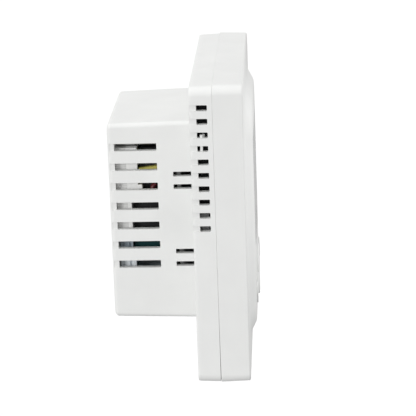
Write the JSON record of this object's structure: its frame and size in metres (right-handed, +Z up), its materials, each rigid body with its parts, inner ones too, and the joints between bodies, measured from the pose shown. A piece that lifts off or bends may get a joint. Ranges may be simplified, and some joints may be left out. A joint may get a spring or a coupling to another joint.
{
  "type": "wall thermostat",
  "caption": "Square flush-mount room thermostat: vented rear box and plate, pull-off front cover with a raised panel, display window and a row of push keys.",
  "frame": {"origin": "centre of the wall plane: the middle of the square plate, on the plane of the plate's back face", "axes": "+X to the right seen from the front, +Y into the wall, +Z up; the front faces -Y"},
  "size_m": [0.086, 0.042, 0.086],
  "materials": {
    "case_white": "satin moulded",
    "key_white": "satin moulded",
    "lens": "polished, tinted",
    "lcd_glass": "smooth",
    "light_guide": "translucent",
    "frame_white": "satin moulded",
    "connector_rubber": "matte",
    "circuit_board": "solder mask",
    "black_plastic": "satin",
    "pin_brass": "bright",
    "relay_white": "satin",
    "ferrite": "sintered",
    "winding_tape": "film tape",
    "capacitor_sleeve": "heat-shrink",
    "film_capacitor": "moulded",
    "dipped_coat": "dipped",
    "fuse_glass": "clear",
    "red_lead": "insulation",
    "black_lead": "insulation",
    "terminal_grey": "satin moulded",
    "screw_steel": "zinc plated"
  },
  "bodies": {
    "housing": {"rear_housing": "case_white", "vent_baffle_left": "black_plastic", "vent_baffle_right": "black_plastic", "power_board": "circuit_board", "board_socket": "black_plastic", "power_board_screw_1": "screw_steel", "power_board_screw_2": "screw_steel", "relay_cover": "relay_white", "relay_base": "black_plastic", "transformer_core": "ferrite", "transformer_winding": "winding_tape", "bulk_capacitor": "capacitor_sleeve", "film_capacitor": "film_capacitor", "dipped_capacitor": "dipped_coat", "fuse": "fuse_glass", "red_lead": "red_lead", "black_lead": "black_lead", "terminal_block": "terminal_grey", "terminal_contact_1": "pin_brass", "terminal_contact_2": "pin_brass", "terminal_contact_3": "pin_brass", "terminal_contact_4": "pin_brass", "terminal_contact_5": "pin_brass", "terminal_contact_6": "pin_brass"},
    "cover": {"front_cover": "case_white", "display_lens": "lens", "lcd_panel": "lcd_glass", "backlight_guide": "light_guide", "lcd_frame": "frame_white", "lcd_connector": "connector_rubber", "display_board": "circuit_board", "controller_chip": "black_plastic", "pin_header": "pin_brass", "room_sensor": "black_plastic", "display_board_screw_1": "screw_steel", "display_board_screw_2": "screw_steel", "display_board_screw_3": "screw_steel", "display_board_screw_4": "screw_steel", "menu_switch_body": "black_plastic", "down_switch_body": "black_plastic", "power_switch_body": "black_plastic", "up_switch_body": "black_plastic", "clock_switch_body": "black_plastic"},
    "menu_button": {"menu_key": "key_white", "menu_switch_plunger": "black_plastic"},
    "down_button": {"down_key": "key_white", "down_switch_plunger": "black_plastic"},
    "power_button": {"power_key": "key_white", "power_switch_plunger": "black_plastic"},
    "up_button": {"up_key": "key_white", "up_switch_plunger": "black_plastic"},
    "clock_button": {"clock_key": "key_white", "clock_switch_plunger": "black_plastic"},
    "screw_1": {"terminal_screw_1": "screw_steel"},
    "screw_2": {"terminal_screw_2": "screw_steel"},
    "screw_3": {"terminal_screw_3": "screw_steel"},
    "screw_4": {"terminal_screw_4": "screw_steel"},
    "screw_5": {"terminal_screw_5": "screw_steel"},
    "screw_6": {"terminal_screw_6": "screw_steel"}
  },
  "joints": [
    {"name": "cover_pull_off", "type": "slide", "parent": "housing", "child": "cover", "axis": [0, -1, 0], "range_m": [0, 0.025]},
    {"name": "menu_press", "type": "slide", "parent": "cover", "child": "menu_button", "axis": [0, 1, 0], "range_m": [0, 0.0005], "stiffness_N_per_m": 400},
    {"name": "down_press", "type": "slide", "parent": "cover", "child": "down_button", "axis": [0, 1, 0], "range_m": [0, 0.0005], "stiffness_N_per_m": 400},
    {"name": "power_press", "type": "slide", "parent": "cover", "child": "power_button", "axis": [0, 1, 0], "range_m": [0, 0.0005], "stiffness_N_per_m": 400},
    {"name": "up_press", "type": "slide", "parent": "cover", "child": "up_button", "axis": [0, 1, 0], "range_m": [0, 0.0005], "stiffness_N_per_m": 400},
    {"name": "clock_press", "type": "slide", "parent": "cover", "child": "clock_button", "axis": [0, 1, 0], "range_m": [0, 0.0005], "stiffness_N_per_m": 400},
    {"name": "terminal_1_turn", "type": "hinge", "parent": "housing", "child": "screw_1", "pos_m": [-0.017, 0.018, -0.0196], "axis": [0, 1, 0], "continuous": true},
    {"name": "terminal_2_turn", "type": "hinge", "parent": "housing", "child": "screw_2", "pos_m": [-0.0102, 0.018, -0.0196], "axis": [0, 1, 0], "continuous": true},
    {"name": "terminal_3_turn", "type": "hinge", "parent": "housing", "child": "screw_3", "pos_m": [-0.0034, 0.018, -0.0196], "axis": [0, 1, 0], "continuous": true},
    {"name": "terminal_4_turn", "type": "hinge", "parent": "housing", "child": "screw_4", "pos_m": [0.0034, 0.018, -0.0196], "axis": [0, 1, 0], "continuous": true},
    {"name": "terminal_5_turn", "type": "hinge", "parent": "housing", "child": "screw_5", "pos_m": [0.0102, 0.018, -0.0196], "axis": [0, 1, 0], "continuous": true},
    {"name": "terminal_6_turn", "type": "hinge", "parent": "housing", "child": "screw_6", "pos_m": [0.017, 0.018, -0.0196], "axis": [0, 1, 0], "continuous": true}
  ]
}
